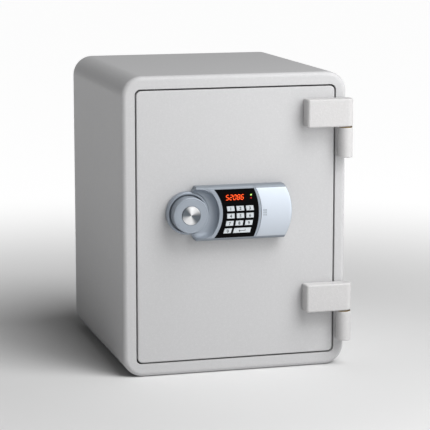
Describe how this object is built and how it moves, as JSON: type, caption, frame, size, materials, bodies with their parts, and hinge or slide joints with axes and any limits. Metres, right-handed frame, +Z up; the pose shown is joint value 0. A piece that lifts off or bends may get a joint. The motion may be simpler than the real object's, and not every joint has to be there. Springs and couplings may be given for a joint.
{
  "type": "in room safe",
  "caption": "Free-standing fire-resistant room safe: insulated box body, hinged plug door, knob-driven bolts and a keypad lock with sliding battery cover.",
  "frame": {"origin": "centre of the body's footprint, on the flat underside", "axes": "+Z up, +Y towards the back of the safe, +X to the right seen from the front, where the door and hinges are on -Y"},
  "size_m": [0.3903, 0.4337, 0.5],
  "materials": {
    "powder_coat": "fine textured off-white powder coat",
    "insulation": "cast lightweight mineral fill",
    "liner_plastic": "light grey moulded plastic",
    "seal_strip": "dark grey expanding strip",
    "zinc_steel": "bright zinc plated steel",
    "shelf_steel": "light grey painted sheet",
    "washer_brass": "turned brass",
    "coil_case": "dark plated steel",
    "black_plastic": "fine matt black ABS",
    "silver_plastic": "silver-blue metallic paint on ABS",
    "fascia_gloss": "polished black acrylic",
    "display_window": "dark red tinted acrylic",
    "led_green": "green lamp lens",
    "led_red": "red lamp lens",
    "board_green": "green solder mask",
    "cell_jacket": "plain dark foil jacket",
    "spun_aluminium": "spun face with radial shine",
    "key_silver": "silver painted keys with dark digits"
  },
  "bodies": {
    "cabinet": {"outer_shell": "powder_coat", "rear_panel": "powder_coat", "body_insulation": "insulation", "inner_liner": "liner_plastic", "door_frame": "liner_plastic", "frame_seal": "seal_strip", "strike_plate": "zinc_steel", "shelf": "shelf_steel", "anchor_sleeves": "zinc_steel", "hinge_barrel_upper": "powder_coat", "hinge_barrel_lower": "powder_coat", "hinge_pins": "zinc_steel", "hinge_washers": "washer_brass"},
    "door": {"door_skin": "powder_coat", "door_insulation": "insulation", "mechanism_plate": "zinc_steel", "door_inner_cover": "liner_plastic", "inner_cover_screws": "zinc_steel", "door_seal": "seal_strip", "hinge_arm_upper": "powder_coat", "hinge_arm_lower": "powder_coat", "bolt_guides": "zinc_steel", "fixed_bolts": "zinc_steel", "guide_studs": "zinc_steel", "spindle_sleeve": "zinc_steel", "solenoid": "coil_case", "lock_base": "black_plastic", "lock_housing": "silver_plastic", "knob_ring": "silver_plastic", "keypad_fascia": "fascia_gloss", "display_lens": "display_window", "display_module": "black_plastic", "led_green": "led_green", "led_red": "led_red", "circuit_board": "board_green", "battery_tray": "black_plastic", "battery_cells": "cell_jacket", "battery_contacts": "zinc_steel", "lock_cable": "black_plastic"},
    "knob": {"knob": "silver_plastic", "knob_cap": "spun_aluminium", "spindle": "zinc_steel", "pinion": "zinc_steel"},
    "bolts": {"bolt_carriage": "zinc_steel", "lock_bolts": "zinc_steel"},
    "latch": {"solenoid_plunger": "zinc_steel"},
    "battery_cover": {"battery_cover": "silver_plastic"},
    "key_1": {"key_1": "key_silver"},
    "key_2": {"key_2": "key_silver"},
    "key_3": {"key_3": "key_silver"},
    "key_4": {"key_4": "key_silver"},
    "key_5": {"key_5": "key_silver"},
    "key_6": {"key_6": "key_silver"},
    "key_7": {"key_7": "key_silver"},
    "key_8": {"key_8": "key_silver"},
    "key_9": {"key_9": "key_silver"},
    "key_0": {"key_0": "key_silver"},
    "key_enter": {"key_enter": "key_silver"}
  },
  "joints": [
    {"name": "door_swing", "type": "hinge", "parent": "cabinet", "child": "door", "pos_m": [0.1863, -0.213, 0.25], "axis": [0, 0, 1], "range_deg": [0, 180]},
    {"name": "knob_turn", "type": "hinge", "parent": "door", "child": "knob", "pos_m": [-0.0848, -0.2, 0.2738], "axis": [0, 1, 0], "range_deg": [0, 90]},
    {"name": "bolt_throw", "type": "slide", "parent": "door", "child": "bolts", "axis": [-1, 0, 0], "range_m": [0, 0.01885]},
    {"name": "latch_throw", "type": "slide", "parent": "door", "child": "latch", "axis": [0, -1, 0], "range_m": [0, 0.007]},
    {"name": "cover_slide", "type": "slide", "parent": "door", "child": "battery_cover", "axis": [1, 0, 0], "range_m": [0, 0.05]},
    {"name": "key_1_press", "type": "slide", "parent": "door", "child": "key_1", "axis": [0, 1, 0], "range_m": [0, 0.0008], "stiffness_N_per_m": 800, "springref_m": -0.0004},
    {"name": "key_2_press", "type": "slide", "parent": "door", "child": "key_2", "axis": [0, 1, 0], "range_m": [0, 0.0008], "stiffness_N_per_m": 800, "springref_m": -0.0004},
    {"name": "key_3_press", "type": "slide", "parent": "door", "child": "key_3", "axis": [0, 1, 0], "range_m": [0, 0.0008], "stiffness_N_per_m": 800, "springref_m": -0.0004},
    {"name": "key_4_press", "type": "slide", "parent": "door", "child": "key_4", "axis": [0, 1, 0], "range_m": [0, 0.0008], "stiffness_N_per_m": 800, "springref_m": -0.0004},
    {"name": "key_5_press", "type": "slide", "parent": "door", "child": "key_5", "axis": [0, 1, 0], "range_m": [0, 0.0008], "stiffness_N_per_m": 800, "springref_m": -0.0004},
    {"name": "key_6_press", "type": "slide", "parent": "door", "child": "key_6", "axis": [0, 1, 0], "range_m": [0, 0.0008], "stiffness_N_per_m": 800, "springref_m": -0.0004},
    {"name": "key_7_press", "type": "slide", "parent": "door", "child": "key_7", "axis": [0, 1, 0], "range_m": [0, 0.0008], "stiffness_N_per_m": 800, "springref_m": -0.0004},
    {"name": "key_8_press", "type": "slide", "parent": "door", "child": "key_8", "axis": [0, 1, 0], "range_m": [0, 0.0008], "stiffness_N_per_m": 800, "springref_m": -0.0004},
    {"name": "key_9_press", "type": "slide", "parent": "door", "child": "key_9", "axis": [0, 1, 0], "range_m": [0, 0.0008], "stiffness_N_per_m": 800, "springref_m": -0.0004},
    {"name": "key_0_press", "type": "slide", "parent": "door", "child": "key_0", "axis": [0, 1, 0], "range_m": [0, 0.0008], "stiffness_N_per_m": 800, "springref_m": -0.0004},
    {"name": "key_enter_press", "type": "slide", "parent": "door", "child": "key_enter", "axis": [0, 1, 0], "range_m": [0, 0.0008], "stiffness_N_per_m": 800, "springref_m": -0.0004}
  ],
  "couplings": [
    {"joint": "bolt_throw", "follows": "knob_turn", "m_per_rad": 0.012}
  ]
}
